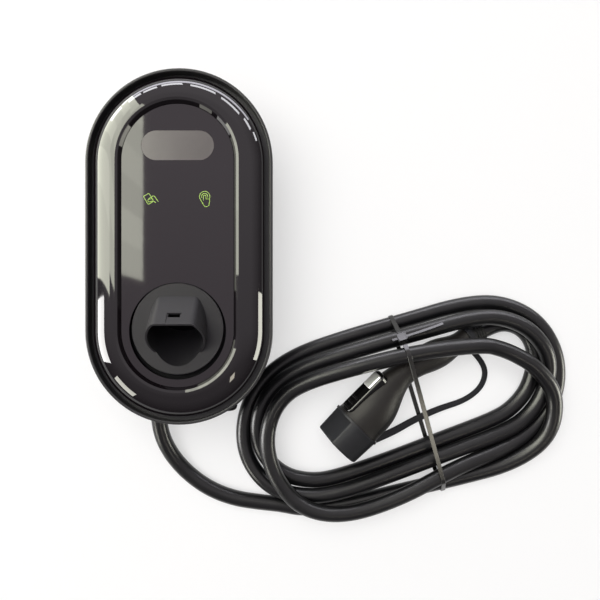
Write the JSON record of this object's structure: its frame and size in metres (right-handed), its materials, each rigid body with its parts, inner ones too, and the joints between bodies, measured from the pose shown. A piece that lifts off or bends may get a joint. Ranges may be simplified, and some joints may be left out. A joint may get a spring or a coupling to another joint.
{
  "type": "ev wallbox",
  "caption": "Pill-shaped wall charger for electric cars with a domed gloss cover, display window, leaning plug holster, and a coiled charging cable with a capped hand plug.",
  "frame": {"origin": "middle of the case's flat back, which lies on the floor", "axes": "+X to the right of the case, +Y to its top, +Z out of its front"},
  "size_m": [0.5175, 0.477, 0.1291],
  "materials": {
    "shell_black": "fine textured moulding",
    "frame_black": "satin moulding",
    "cover_gloss": "piano black",
    "panel_gloss": "piano black",
    "lens_smoke": "smoked window",
    "holster_grey": "fine spark texture",
    "rubber_black": "matte",
    "gland_black": "satin nylon",
    "cable_rubber": "satin sheath",
    "tie_nylon": "nylon",
    "plug_black": "fine texture",
    "grip_black": "fine texture",
    "insert_gloss": "gloss",
    "button_chrome": "bright plated",
    "cap_rubber": "matte",
    "contact_silver": "silver plated",
    "screw_steel": "zinc plated",
    "board_green": "solder resist",
    "module_dark": "moulded case",
    "terminal_grey": "moulded",
    "varistor_blue": "dipped coating",
    "foam_grey": "plain",
    "wire_brown": "insulation"
  },
  "bodies": {
    "wallbox": {"back_shell": "shell_black", "shell_gasket": "rubber_black", "front_frame": "frame_black", "front_cover": "cover_gloss", "front_panel": "panel_gloss", "display_lens": "lens_smoke", "display_module": "module_dark", "control_board": "board_green", "control_board_screws": "screw_steel", "rfid_antenna": "board_green", "touch_pad": "foam_grey", "holster": "holster_grey", "holster_screws": "screw_steel", "case_screws": "screw_steel", "main_board": "board_green", "main_board_screws": "screw_steel", "supply_terminals": "terminal_grey", "outlet_terminals": "terminal_grey", "relays": "module_dark", "leakage_sensor": "module_dark", "varistors": "varistor_blue", "power_supply": "module_dark", "ribbon_cable": "foam_grey", "outlet_gland_body": "gland_black", "outlet_gland_seal": "rubber_black", "outlet_gland_nut": "gland_black", "supply_gland_body": "gland_black", "supply_gland_seal": "rubber_black", "supply_gland_nut": "gland_black", "gland_locknuts": "gland_black", "outlet_wires": "wire_brown", "cable_lead": "cable_rubber", "cable_coil": "cable_rubber", "cable_tie": "tie_nylon", "plug_nose": "plug_black", "plug_contacts": "contact_silver", "plug_shell_left": "plug_black", "plug_shell_right": "plug_black", "plug_grip": "grip_black", "plug_top_insert": "insert_gloss", "button_switch": "module_dark", "strain_relief": "rubber_black", "cap_strap": "cap_rubber"},
    "thumb_button": {"thumb_button": "button_chrome"},
    "dust_cap": {"dust_cap": "cap_rubber"}
  },
  "joints": [
    {"name": "button_press", "type": "slide", "parent": "wallbox", "child": "thumb_button", "axis": [0.5997, -0.5997, -0.5299], "range_m": [0, 0.003], "stiffness_N_per_m": 400, "springref_m": -0.002},
    {"name": "cap_pull", "type": "slide", "parent": "wallbox", "child": "dust_cap", "axis": [-0.7071, -0.7071, 0], "range_m": [0, 0.01], "deforming": ["cap_strap"]}
  ]
}
